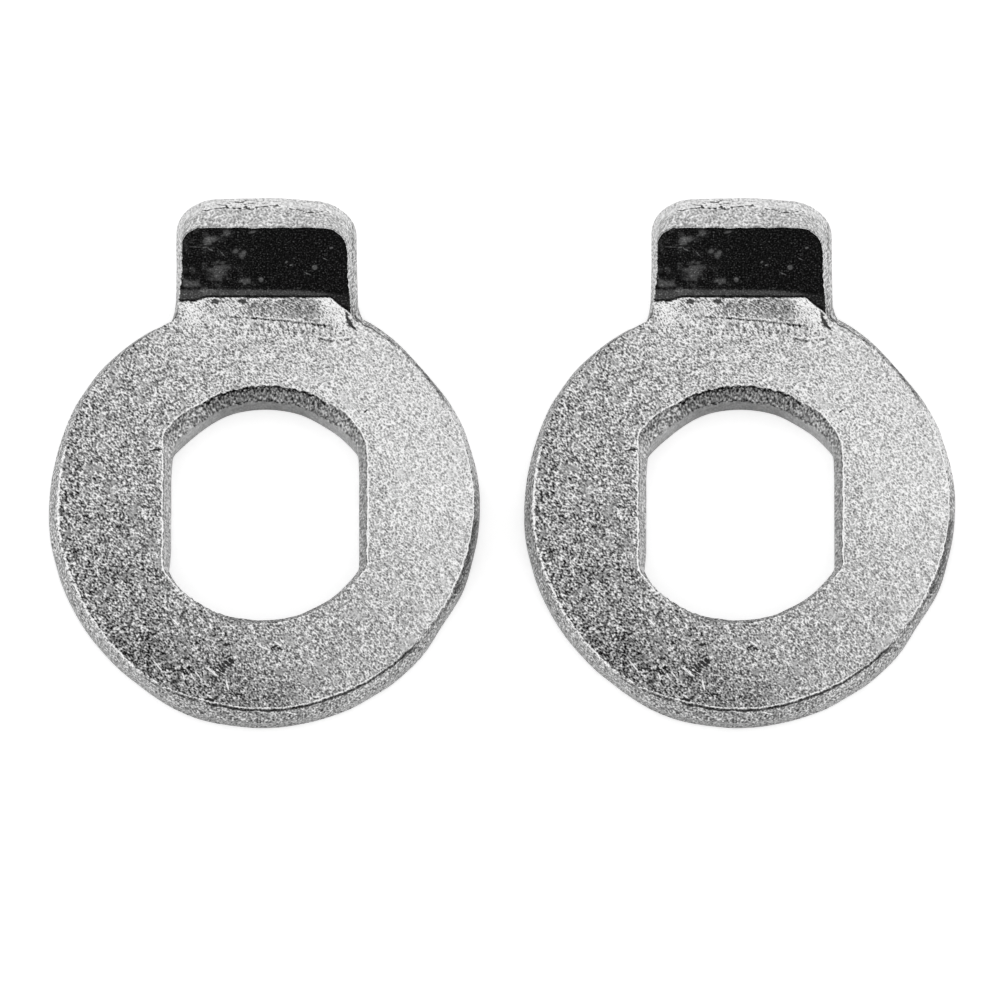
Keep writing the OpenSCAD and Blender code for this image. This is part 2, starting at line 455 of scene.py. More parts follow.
def upper_face(u, inner, outer):
    """Rings out over the upper face, closer together near both edges. A broken burr runs inside the rim,
    and the relief fades out by the edges."""
    length = np.linalg.norm(outer - inner, axis=1)
    t = np.linspace(0.0, 1.0, FACE_RINGS)
    burr = BURR_HEIGHT * np.clip(round_noise(u, 200, 9) + 0.2, 0, 1)
    rings = []
    for f in t - 0.09 * np.sin(2 * math.pi * t):
        from_hole = f * length + EDGE_ROUND
        from_rim = (1 - f) * length + EDGE_ROUND
        xy = inner * (1 - f) + outer * f
        fade = smoothstep(0.0, 0.3, np.minimum(from_rim, from_hole) - EDGE_ROUND)
        z = THICKNESS + burr * bell(from_rim - 0.08, 0.07) + relief(xy[:, 0], xy[:, 1]) * fade
        rings.append((xy, z, from_rim, from_hole))
    return rings


def rim_wall(u, land, face, out):
    """Rings down the rim's wall: upper edge, torn part, sheared band, rounded lower edge."""
    torn_steps, band_steps, round_steps = RIM_STEPS
    land_top = RIM_LAND_TOP - TAB_LAND_DROP * smoothstep(TAB_END - 2.0, TAB_END - 0.3, land[:, 1])
    band = land_top + 0.12 * round_noise(u, 80, 10) + 0.08 * round_noise(u, 22, 11)
    rings = []
    for step, drop in ((0.3, 0.3), (0.0, 1.0)):
        fall = -EDGE_ROUND * drop
        rings.append((face - out * EDGE_ROUND * step, THICKNESS + fall, fall, FAR))
    for k in range(1, torn_steps + 1):
        g = k / torn_steps
        z = THICKNESS - EDGE_ROUND - (THICKNESS - EDGE_ROUND - band) * g
        rough = 0.04 * lattice(u, 0 * u + g, 340, 6, 12) * math.sin(math.pi * g) ** 0.5
        rings.append((face * (1 - g) + land * g + out * rough[:, None], z, z - THICKNESS, FAR))
    for k in range(1, band_steps + 1):
        z = band + (RIM_ROUND - band) * k / band_steps
        rings.append((land, z, z - THICKNESS, FAR))
    for k in range(1, round_steps + 1):
        a = math.pi / 2 * k / round_steps
        z = RIM_ROUND * (1 - math.sin(a))
        rings.append((land - out * RIM_ROUND * (1 - math.cos(a)), z, z - THICKNESS, FAR))
    return rings


def lower_face(outer, inner):
    """Rings back under the lower face, from the rim to the hole."""
    shares = [k / UNDER_STEPS for k in range(1, UNDER_STEPS)]
    return [(outer * (1 - f) + inner * f, 0.0, FAR, FAR) for f in shares]


def blank_rings():
    """The blank as a closed grid. Each ring runs round the washer, and the rings follow one another up the
    hole's wall, out over the upper face, down the rim's wall and back under the lower face. Returns points,
    for each its distance from the rim's and from the hole's upper edge, negative down a wall, and the
    numbers of rings in the hole's wall, the upper face and the rim's wall."""
    count = sum(ARC_COLUMNS) + sum(TAB_COLUMNS)
    u = np.arange(count) / count
    (rim_land, rim_face, rim_out), (hole_land, hole_face, hole_out) = blank_loops(u)
    up = hole_wall(u, hole_land, hole_face, hole_out)
    over = upper_face(u, hole_face - hole_out * EDGE_ROUND, rim_face - rim_out * EDGE_ROUND)
    down = rim_wall(u, rim_land, rim_face, rim_out)
    under = lower_face(rim_land - rim_out * RIM_ROUND, hole_land - hole_out * HOLE_ROUND)

    rings, rim_edge, hole_edge = [], [], []
    for xy, z, from_rim, from_hole in up + over + down + under:
        rings.append(np.column_stack([xy, np.broadcast_to(z, count)]))
        rim_edge.append(np.broadcast_to(from_rim, count))
        hole_edge.append(np.broadcast_to(from_hole, count))
    return np.array(rings), np.array(rim_edge), np.array(hole_edge), (len(up), len(over), len(down))


def bend_tab(p):
    """The bend: what lies past the bend line turns about an axis above the sheet, up to the bend angle, and
    runs straight from there. Beside the tab the pull falls off steeply, and a part of it fades out slowly
    along the right shoulder."""
    x, y, z = p[..., 0], p[..., 1], p[..., 2]
    past = np.maximum(y - BEND_START, 0.0)
    angle = np.minimum(past / BEND_RADIUS, BEND_ANGLE)
    straight = np.maximum(past - BEND_RADIUS * BEND_ANGLE, 0.0)
    radius = BEND_RADIUS + THICKNESS - z
    bent_y = BEND_START + radius * np.sin(angle) + straight * np.cos(angle)
    bent_z = THICKNESS + BEND_RADIUS - radius * np.cos(angle) + straight * np.sin(angle)
    beside = np.maximum(x - TAB_SIDES[1], TAB_SIDES[0] - x)
    kept = SHOULDER_SHARE * (x > 0) * (1 - smoothstep(*SHOULDER_REACH, beside))
    pull = (kept + (1 - kept) * (1 - smoothstep(0.0, PULL_REACH, beside))) * (past > 0)
    return np.stack([x, y + (bent_y - y) * pull, z + (bent_z - z) * pull], -1)


def washer_mesh(name, centre, materials):
    """A closed grid mesh from the rings, with the blank's own coordinates kept for the finish to follow.
    The materials are those of the faces, of the hole's wall and of the rim's wall."""
    rings, rim_edge, hole_edge, (hole_rings, face_rings, rim_rings) = blank_rings()
    rows, columns = rings.shape[:2]
    points = bend_tab(rings)
    points[..., 0] += centre[0]
    points[..., 1] += centre[1]
    index = np.arange(rows * columns).reshape(rows, columns)
    right = np.roll(index, -1, 1)
    up = np.roll(index, -1, 0)
    up_right = np.roll(right, -1, 0)
    quads = np.stack([index, right, up_right, up], -1).reshape(-1, 4)
    mesh = bpy.data.meshes.new(name)
    mesh.from_pydata((points.reshape(-1, 3) * MM).tolist(), [], quads.tolist())
    blank = mesh.attributes.new("blank", "FLOAT_VECTOR", "POINT")
    blank.data.foreach_set("vector", rings.reshape(-1).astype(np.float32))
    edges = np.stack([rim_edge, hole_edge, 0 * rim_edge], -1)
    edge = mesh.attributes.new("edges", "FLOAT_VECTOR", "POINT")
    edge.data.foreach_set("vector", edges.reshape(-1).astype(np.float32))
    for material in materials:
        mesh.materials.append(material)
    ring = np.arange(rows)
    zone = np.where(ring < hole_rings, 1, 0)
    zone[(ring >= hole_rings + face_rings - 1) & (ring < hole_rings + face_rings + rim_rings - 1)] = 2
    mesh.polygons.foreach_set("material_index", np.repeat(zone, columns).astype(np.int32))
    mesh.polygons.foreach_set("use_smooth", np.ones(len(mesh.polygons), bool))
    mesh.validate()
    mesh.update()
    piece = bpy.data.objects.new(name, mesh)
    bpy.context.scene.collection.objects.link(piece)
    return piece


class Field:
    """A value in a shader, which can be written in sums. Each step adds one node."""

    def __init__(self, tree, socket):
        self.tree = tree
        self.socket = socket

    def math(self, operation, *others, swap=False):
        """The result of a sum on this value and others, or on them in reverse order where swap is set."""
        node = self.tree.nodes.new("ShaderNodeMath")
        node.operation = operation
        values = (self, *others)
        if swap:
            values = values[::-1]
        for socket, value in zip(node.inputs, values):
            plug(self.tree, socket, value)
        return Field(self.tree, node.outputs[0])

    def __add__(self, other):
        return self.math("ADD", other)

    def __sub__(self, other):
        return self.math("SUBTRACT", other)

    def __rsub__(self, other):
        return self.math("SUBTRACT", other, swap=True)

    def __mul__(self, other):
        return self.math("MULTIPLY", other)

    def __pow__(self, other):
        return self.math("POWER", other)

    __radd__ = __add__
    __rmul__ = __mul__

    def clamp(self, low, high):
        """This value, held between low and high."""
        return self.math("MAXIMUM", low).math("MINIMUM", high)

    def ease(self, low, high):
        """0 where this is at low, 1 at high, and a smooth ramp between them."""
        node = self.tree.nodes.new("ShaderNodeMapRange")
        node.interpolation_type = "SMOOTHSTEP"
        plug(self.tree, node.inputs["Value"], self)
        plug(self.tree, node.inputs["From Min"], low)
        plug(self.tree, node.inputs["From Max"], high)
        return Field(self.tree, node.outputs["Result"])

    def within(self, low, high, soft):
        """1 between low and high, fading to 0 over soft at either end."""
        return self.ease(low - soft, low + soft) * (1 - self.ease(high - soft, high + soft))

    def towards(self, other, share):
        """This value, moved towards another by a share from 0 to 1."""
        node = self.tree.nodes.new("ShaderNodeMix")
        node.data_type = "FLOAT"
        plug(self.tree, node.inputs[0], share)
        plug(self.tree, node.inputs[2], self)
        plug(self.tree, node.inputs[3], other)
        return Field(self.tree, node.outputs[0])


def plug(tree, socket, value):
    """Puts a field, a socket or a plain value into a socket."""
    if isinstance(value, Field):
        value = value.socket
    if isinstance(value, bpy.types.NodeSocket):
        tree.links.new(value, socket)
    else:
        socket.default_value = value


def vector_math(tree, operation, *vectors):
    """The output of a vector step on one, two or three vectors."""
    node = tree.nodes.new("ShaderNodeVectorMath")
    node.operation = operation
    for socket, vector in zip(node.inputs, vectors):
        plug(tree, socket, vector)
    return node.outputs["Value" if operation == "LENGTH" else "Vector"]


def noise(tree, vector, scale, detail, roughness, seed):
    """Cloudy noise about 0, mostly between -1 and 1. The seed moves it to another place."""
    offset = tuple(seed * step for step in SEED_STEPS)
    node = tree.nodes.new("ShaderNodeTexNoise")
    plug(tree, node.inputs["Vector"], vector_math(tree, "ADD", vector, offset))
    plug(tree, node.inputs["Scale"], scale)
    plug(tree, node.inputs["Detail"], detail)
    plug(tree, node.inputs["Roughness"], roughness)
    return (Field(tree, node.outputs["Fac"]) - 0.5) * 4.0


def new_group(name, inputs, outputs):
    """An empty shader node group with named sockets, the vectors among them in upper case here.
    Returns the group, its inputs by name and the node that takes its outputs."""
    group = bpy.data.node_groups.new(name, "ShaderNodeTree")
    for socket in inputs:
        kind = "NodeSocketVector" if socket.isupper() else "NodeSocketFloat"
        group.interface.new_socket(socket.capitalize(), in_out="INPUT", socket_type=kind)
    for socket in outputs:
        group.interface.new_socket(socket, in_out="OUTPUT", socket_type="NodeSocketFloat")
    source = group.nodes.new("NodeGroupInput")
    sink = group.nodes.new("NodeGroupOutput")
    return group, source.outputs, sink


def grain_group():
    """Plated grain: fine bright and dark crystals, lighter flecks along veins 1.6 times as wide and clouds
    3.8 times as wide, as a tone about 0. The fine crystals are given as a height too. With them come two
    noises about 0, one by which edges wander and one that makes them ragged."""
    group, given, sink = new_group(
        "plated grain", ("PLACE", "STRETCH", "Scale"), ("Tone", "Height", "Wander", "Ragged"))
    place = given["Place"]
    turn = group.nodes.new("ShaderNodeVectorRotate")
    turn.rotation_type = "Z_AXIS"
    turn.inputs["Angle"].default_value = GRAIN_TURN
    plug(group, turn.inputs["Vector"], place)
    drawn = vector_math(group, "MULTIPLY", turn.outputs[0], given["Stretch"])
    scale = Field(group, given["Scale"])
    fine = noise(group, drawn, scale, 0.0, 0.5, seed=1.0)
    veins = noise(group, drawn, scale * 0.62, 0.0, 0.5, seed=2.0)
    coarse = noise(group, drawn, scale * 0.26, 1.0, 0.6, seed=3.0)
    flecks = (1 - veins.math("ABSOLUTE") * 2.6).math("MAXIMUM", 0.0)
    plug(group, sink.inputs["Tone"], fine * 2.2 + flecks * 1.1 - 0.42 + coarse * 0.30)
    plug(group, sink.inputs["Height"], fine)
    plug(group, sink.inputs["Wander"], noise(group, place, 1.6, 2.0, 0.6, seed=4.0))
    plug(group, sink.inputs["Ragged"], noise(group, place, 5.0, 1.0, 0.6, seed=5.0))
    return group


def gap_group():
    """Breaks a line up: 1 along most of it and 0 in its gaps, which come closer with a higher scale."""
    group, given, sink = new_group("broken line", ("PLACE", "Scale"), ("Mask",))
    scale = Field(group, given["Scale"])
    plug(group, sink.inputs["Mask"], noise(group, given["Place"], scale, 1.0, 0.5, seed=8.0).ease(-0.9, 0.3))
    return group


GRAIN = grain_group()
GAPS = gap_group()


class Finish:
    """A metal material while it is being made, with what its pattern follows: the blank's place, X, Y and
    Z, the distances from the upper edges, and the grain and noises that all finishes share."""

    def __init__(self, name, grain_scale, stretch, finer=0.0):
        """The stretch is a vector. Below 1 it draws the grain out: its first number along the way from the
        rear left to the front right, its second across that, its third along Z. The first two grow by a
        share of finer for each millimetre to the right."""
        self.material = bpy.data.materials.new(name)
        self.material.use_nodes = True
        self.tree = self.material.node_tree
        self.shader = self.tree.nodes["Principled BSDF"]
        self.shader.inputs["Metallic"].default_value = 1.0
        self.place, (self.x, self.y, self.z) = self.attribute("blank")
        _, (self.from_rim, self.from_hole, _) = self.attribute("edges")
        growth = self.x * finer + 1.0
        drawn = self.tree.nodes.new("ShaderNodeCombineXYZ")
        for socket, value in zip(drawn.inputs, (growth * stretch[0], growth * stretch[1], stretch[2])):
            plug(self.tree, socket, value)
        self.grain, self.height, self.wander, self.ragged = self.placed(
            GRAIN, Place=self.place, Stretch=drawn.outputs["Vector"], Scale=grain_scale)

    def attribute(self, name):
        """A mesh attribute as a vector socket and as three fields."""
        node = self.tree.nodes.new("ShaderNodeAttribute")
        node.attribute_name = name
        split = self.tree.nodes.new("ShaderNodeSeparateXYZ")
        self.tree.links.new(node.outputs["Vector"], split.inputs[0])
        return node.outputs["Vector"], [Field(self.tree, socket) for socket in split.outputs]

    def placed(self, group, **values):
        """A node group placed in this material with its inputs' values. Returns its outputs as fields."""
        node = self.tree.nodes.new("ShaderNodeGroup")
        node.node_tree = group
        for name, value in values.items():
            plug(self.tree, node.inputs[name], value)
        return [Field(self.tree, socket) for socket in node.outputs]

    def broken(self, scale):
        """1 along most of a line and 0 in its gaps."""
        return self.placed(GAPS, Place=self.place, Scale=scale)[0]

    def noise(self, scale, detail, roughness, seed):
        """Cloudy noise that follows the blank's place."""
        return noise(self.tree, self.place, scale, detail, roughness, seed)

    def upright_place(self):
        """The blank's place with its Z in place of Y, as a vector socket."""
        node = self.tree.nodes.new("ShaderNodeCombineXYZ")
        plug(self.tree, node.inputs["X"], self.x)
        plug(self.tree, node.inputs["Y"], self.z)
        return node.outputs["Vector"]

    def ovals(self, table, place=None):
        """Long ovals laid on the blank, one for each row of a table of nicks or marks. The result is under
        1 inside an oval and grows outwards: the least of the lengths of the place vector, each measured in
        one oval's own frame."""
        tree = self.tree
        nearest = None
        for x, y, direction, length, width in table:
            turn = tree.nodes.new("ShaderNodeVectorRotate")
            turn.rotation_type = "Z_AXIS"
            plug(tree, turn.inputs["Vector"], place or self.place)
            turn.inputs["Center"].default_value = (x, y, 0.0)
            turn.inputs["Angle"].default_value = -math.radians(direction)
            along, across = 2 / length, 2 / width
            scaled = vector_math(
                tree, "MULTIPLY_ADD", turn.outputs[0], (along, across, 0.0), (-along * x, -across * y, 0.0))
            away = Field(tree, vector_math(tree, "LENGTH", scaled))
            nearest = away if nearest is None else nearest.math("MINIMUM", away)
        return nearest

    def close(self, tone, roughness, height, depth):
        """Turns a tone as it looks into linear colour, and sets colour, roughness and bump. A tone of 1 is
        a little below white, so that painted highlights on burrs, and flecks, can still be brighter."""
        tree = self.tree
        linear = (tone * TONE_WHITE).clamp(TONE_BLACK, 1.0) ** GAMMA
        colour = tree.nodes.new("ShaderNodeCombineColor")
        for socket in colour.inputs:
            plug(tree, socket, linear)
        plug(tree, self.shader.inputs["Base Color"], colour.outputs[0])
        plug(tree, self.shader.inputs["Roughness"], roughness)
        bump = tree.nodes.new("ShaderNodeBump")
        bump.inputs["Distance"].default_value = depth * MM
        plug(tree, bump.inputs["Height"], height)
        plug(tree, self.shader.inputs["Normal"], bump.outputs["Normal"])
        return self.material


def above_foot(f):
    """Distance above the lower limit of the tab's pressed face. It is level in the middle, falls away at the
    right, and a little at the left."""
    right_fall = (f.x - 3.5).clamp(0.0, 1.1) * 0.85
    left_fall = (f.x * -1.0 - 3.2).clamp(0.0, 0.6) * 0.40
    return f.y - PRESSED_FOOT + right_fall + left_fall - f.ragged * 0.03


def by_flats(f):
    """1 along the hole's flats and 0 along its round sides."""
    return 1 - f.y.math("ABSOLUTE").ease(*FLATS_END)


def bend_marks_and_painted_light(f):
    """Change of tone by the bending tool's marks under the tab, with painted light on them: a calmer strip,
    a crease darkened by painted shade with a painted highlight on the lip above it, slanting ribs, a second
    crease at the right with painted shade and highlight, a painted glint under the pressed face, and a
    pulled facet with hairlines at either end, lit by a painted highlight."""
    x, y = f.x, f.y
    above = y - crease_line(x) - f.ragged * 0.03
    strip = above.ease(0.10, 0.30) * (1 - y.ease(11.5, 11.7)) * x.within(-1.2, 2.9, 0.5)
    tone = strip * (-0.19 - x.ease(0.0, 2.6) * 0.08)

    strong = x.ease(-1.5, 1.6) * 0.5 + 0.5
    # Painted shade in the crease and a painted highlight on the lip above it
    whole = f.broken(4.0).towards(1.0, 0.5) * (x.ease(-2.6, -0.4) * 0.3 + 0.7)
    crease = above.within(-0.05, 0.05, 0.04) * x.within(-2.6, 3.4, 0.3) * whole
    lip = above.within(0.09, 0.14, 0.03) * x.within(-0.6, 3.2, 0.3) * (x.ease(0.0, 1.4) * 0.5 + 0.5)
    tone = tone - crease * 0.46 + lip * f.broken(5.0) * 0.26

    ribs = (rib_place(x, y) * (2 * math.pi / RIB_PITCH) + f.ragged * 1.0 + f.wander * 1.6).math("SINE")
    ribbed = y.within(9.42, 10.08, 0.10) * x.within(-2.0, 4.3, 0.5) * strong
    tone = tone + ((ribs + f.ragged * 0.7).ease(-1.1, 0.4) - 0.80) * ribbed * 0.36

    # Second crease: painted shade in it and a painted highlight just above it
    across = y - second_crease(x) - f.ragged * 0.03
    ends = x.within(*SECOND_CREASE_SPAN)
    tone = tone - across.within(-0.05, 0.05, 0.035) * ends * f.broken(5.0) * 0.50
    tone = tone + across.within(0.09, 0.17, 0.04) * ends * f.broken(5.0) * 0.20

    # Pulled facets at either end, lit by a painted highlight, with their hairlines
    right = (x + (y - 10.9) * 0.6).ease(2.7, 3.9) * (1 - x.ease(4.34, 4.44)) * y.within(9.70, 11.9, 0.25)
    left = x.within(-4.3, -3.5, 0.25) * y.within(10.0, 11.2, 0.20)
    hairs = ((x + y * 0.5) * (2 * math.pi / HAIR_PITCH) + f.ragged * 2.0).math("SINE")
    tone = tone + (right * 0.29 + left * 0.32) * (1 + hairs * 0.5 + f.grain * 0.2)

    # Painted glint under the pressed face
    glint = above_foot(f).within(-0.16, -0.06, 0.04) * f.broken(6.0)
    lengths = x.within(-0.9, 1.0, 0.1) + x.within(2.0, 3.5, 0.1)
    return tone + glint * lengths * 0.45


def burr_highlights_and_lines(f):
    """Change of tone along the upper edges: a painted highlight on the burr inside the rim, nearly whole at
    the left and the right and in short dashes in front, dark dashes on the rear shoulders, a painted
    highlight on the burr along the hole's flats, and a dark line in its front."""
    x, y = f.x, f.y
    # Painted highlight on the burr inside the rim
    broken = f.broken(2.6)
    at_left = x.ease(-4.5, -6.5)
    beads = f.broken(3.4).towards(1.0, 0.2) * f.broken(8.0).towards(1.0, 0.3)
    left = at_left * (1 - y.ease(2.8, 3.6)) * beads
    right = x.ease(7.6, 9.0) * y.within(-6.3, 5.4, 0.5) * broken.towards(1.0, 0.3)
    front = y.ease(-6.0, -9.0) * x.ease(-6.0, -4.5) * (1 - x.ease(5.0, 7.0)) * f.broken(4.5)
    rim = (f.from_rim + f.ragged * 0.02).within(0.0, at_left * 0.06 + 0.10, 0.025)
    rim = rim * (left + right + front * 0.75)
    shoulders = y.within(5.0, 8.8, 0.4) * (x.ease(5.0, 6.0) + x.ease(-5.0, -6.0) * 0.6)
    dashes = f.from_rim.within(-0.02, 0.10, 0.03) * shoulders * f.broken(3.0)

    # Painted highlight on the burr along the hole's upper edge, strongest along its flats
    flat = by_flats(f)
    front_left = y.within(-5.0, -3.3, 0.3) * (1 - x.ease(-2.0, -1.0))
    rear = y.ease(3.0, 3.6) * (1 - x.ease(-2.6, -1.8) + x.ease(4.0, 4.4)) * f.broken(4.0)
    share = flat * 0.9 + front_left * 0.8 + rear * 0.7 + broken * 0.15
    hole = f.from_hole.within(-0.02, 0.12, 0.04) * share
    line = f.from_hole.within(-0.02, 0.05, 0.03) * y.ease(-4.2, -5.2) * f.broken(3.4)
    return rim * 0.85 + hole * 0.55 - line * 0.35 - dashes * 0.38


def pressed_reflection_and_marks(f):
    """Tone of the tab's pressed face, made near black as a painted dark reflection in its smooth steel: fine
    dust, pale smears and spots, a few scratches, and a dark grey band along its foot, a painted reflection
    too."""
    x, y = f.x, f.y
    specks = f.noise(10.0, 1.0, 0.7, seed=7.0)
    dust = specks.ease(0.0, 1.5) * f.from_rim.ease(0.02, 0.16)
    haze = f.noise(1.6, 3.0, 0.7, seed=11.0).ease(-0.1, 0.9) * (1 - x.ease(-3.8, 0.2))
    mottle = f.noise(4.0, 2.0, 0.7, seed=12.0).ease(0.1, 1.1)
    # Dark grey band along the foot: painted reflection where the face starts to turn into the bend
    band_top = 12.06 - x.math("MAXIMUM", 0.0) ** 2.0 * 0.02
    band = above_foot(f).ease(0.10, 0.20) * (1 - (y - band_top + f.ragged * 0.05).ease(-0.09, 0.09))
    band = band * (1 - x.ease(3.0, 4.0) * 0.7)
    smear = 1 - (f.ovals(SMEARS) + f.ragged * 0.60 + specks * 0.45).ease(0.50, 1.30)
    spot = 1 - (f.ovals(SPOTS) + specks * 0.15).ease(0.6, 1.2)
    scratch = (1 - (f.ovals(SCRATCHES) + specks * 0.50).ease(0.5, 1.3)) * f.broken(7.0)
    # Near black base: painted dark reflection, with dust, haze and mottling on it
    tone = (0.10 + dust * 0.26 + specks * 0.05 + haze * 0.16 + mottle * 0.08).math("MAXIMUM", 0.05)
    return tone + band * 0.19 + smear * 0.20 + spot * 0.25 + scratch * 0.24


def plated_face():
    """Zinc plated upper and lower face, with painted light over it. The pattern follows the flat blank, so
    it runs round the bend and both washers carry the same marks. The marks are on the upper face alone, and
    so are the painted shade, highlights and dark reflection that go with them."""
    f = Finish("plated face", grain_scale=10.3, stretch=(0.81, 1.12, 1.0), finer=0.004)
    x, y = f.x, f.y
    upper = f.z.ease(1.4, 1.6)

    # Painted light: darker to the front left, lighter to the rear right. The grain is stronger to the front
    # left and calmer to the rear right
    low_front = (y + x * 0.3).ease(-8.2, -10.8) * (1 - x.ease(-1.0, 4.0))
    rear_middle = y.ease(5.5, 7.5) * (1 - x.math("ABSOLUTE").ease(3.0, 6.0))
    light = x * 0.0135 + y * 0.0108 + 0.809 - low_front * 0.08 + rear_middle * 0.03
    light = light.math("MINIMUM", LIGHTEST_PAINTED_LIGHT)
    calm = f.noise(1.3, 3.0, 0.6, seed=14.0).ease(0.1, 0.9)
    spread = (x * -0.0041 + y * -0.0007 + 0.150) * (1 - calm * 0.72)
    blotch = f.noise(0.55, 2.0, 0.6, seed=6.0)
    shade = 1 - (f.ovals(SHADES) + f.wander * 0.3).ease(0.3, 1.3)
    face = light + blotch * 0.02 + f.wander * 0.015 - shade * 0.07 + f.grain * spread

    # Bend marks and burrs, with their painted shade and highlights, on the upper face alone
    face = face + (bend_marks_and_painted_light(f) + burr_highlights_and_lines(f)) * upper
    dark = 1 - (f.ovals(DARK_NICKS) + f.ragged * 0.12 + f.grain * 0.10).ease(0.75, 1.15)
    bright = 1 - (f.ovals(BRIGHT_NICKS) + f.ragged * 0.12).ease(0.75, 1.25)
    face = face.towards(BRIGHT_NICK_TONE, bright * upper * 0.90)
    face = face.towards(y.ease(9.0, 9.4) * 0.12 + DARK_NICK_TONE, dark * upper * 0.90)

    # The tab's pressed face: a painted dark reflection, with its dust, smears and scratches
    pressed = above_foot(f).ease(-0.04, 0.04) * upper
    face = face.towards(pressed_reflection_and_marks(f), pressed)
    roughness = (PLATED_ROUGHNESS + f.grain * 0.05).towards(PRESSED_ROUGHNESS, pressed)
    return f.close(face, roughness, f.height * (1 - pressed * 0.9), GRAIN_DEPTH)


def sheared_rim():
    """Rim's wall and the tab's sides and end: torn part over a smoother sheared band with dark pits, a
    painted shadow as a dark line under the upper edge, and a broken crack along the tab's end. Painted light
    makes it lighter at the left than the right."""
    f = Finish("sheared rim", grain_scale=8.5, stretch=(1.0, 1.0, 0.6))
    x, y, z = f.x, f.y, f.z
    on_tab = y.ease(10.4, 11.4)
    on_end = y.ease(TAB_END - 2.2, TAB_END - 0.6)
    front = y.ease(-5.2, -6.8)
    # Painted light and shade, set by the way round the washer, and lighter on the tab
    round_it = y.math("ARCTAN2", x) * (180 / math.pi)
    side = 0.84 - round_it.within(-114, -78, 12) * 0.07 - round_it.within(-24, -6, 5) * 0.15
    side = side + round_it.within(10, 29, 4) * 0.25 - round_it.within(33, 43, 3) * 0.12
    side = side.towards(0.95 - on_end * 0.06, on_tab)
    band_top = RIM_LAND_TOP - on_end * TAB_LAND_DROP + f.wander * 0.12 + f.ragged * 0.08
    torn = (z - band_top).ease(-0.06, 0.06)
    rough = f.grain * (torn * 0.07 + 0.07) * (1 - on_end * 0.40)
    wall = side + rough + (1 - torn) * (0.02 + on_end * (0.07 + f.wander * 0.03))
    wall = wall - (1 - z.ease(0.0, 0.7)) * (1 - on_tab) * 0.10

    # Dark pits, closer together low down in front
    pits = f.noise(8.5, 0.0, 0.5, seed=9.0) + (0.12 + front * (0.22 - z * 0.16)) * (1 - on_tab)
    wall = wall - pits.ease(0.50, 0.95) * (1 - on_end * 0.5) * 0.44

    # Crack along the tab's end, with a paler hem, and the dim lower edge of the end
    away = f.ovals(CRACK, f.upright_place()) + f.ragged * 0.25 + f.grain * 0.24
    wall = wall - (1 - away.ease(0.7, 1.6)) * on_end * 0.56 + away.within(2.0, 2.9, 0.4) * on_end * 0.09
    hem = x.within(-3.2, -1.8, 0.2) + x.within(1.6, 3.7, 0.2)
    wall = wall - (1 - z.ease(0.10, 0.34)) * hem * on_end * f.broken(4.0) * 0.20

    # Painted shadow under the upper edge, as a dark line: whole in front, in dashes at the front left,
    # broken at the rear, down either root of the tab, and at the right
    whole = front * x.ease(-3.3, -3.0) * (1 - x.ease(7.4, 8.2))
    dashes = front * x.within(-6.6, -3.4, 0.3) * f.broken(1.9)
    wall = wall - f.from_rim.within(-0.26, -0.02, 0.04) * (whole * 0.56 + dashes * 0.40)
    rear = y.ease(5.2, 6.4) * (1 - on_tab) * (x.ease(-1.0, 1.0) * 0.20 + 0.22)
    wall = wall - f.from_rim.within(-0.50, -0.02, 0.06) * rear * f.broken(3.0)
    roots = y.within(8.9, 10.5, 0.3) * f.broken(2.2)
    right = x.ease(6.8, 7.6) * y.within(-8.8, -0.5, 0.5) * f.broken(3.0)
    wall = wall - f.from_rim.within(-0.22, -0.01, 0.04) * roots * 0.45
    wall = wall - f.from_rim.within(-0.60 - y.ease(-6.0, -4.0) * 0.30, -0.05, 0.08) * right * 0.32

    # Dark streak down the tab's right side, and the tab's dark upper lip
    wall = wall - (x - 4.74).within(-0.04, 0.04, 0.04) * on_tab * f.broken(5.0) * 0.28
    lip = y.ease(TAB_END - 1.9, TAB_END - 1.2) * f.from_rim.within(-0.05, 0.01, 0.03)
    return f.close(wall - lip * 0.20, PLATED_ROUGHNESS + f.grain * 0.05, f.height, GRAIN_DEPTH)


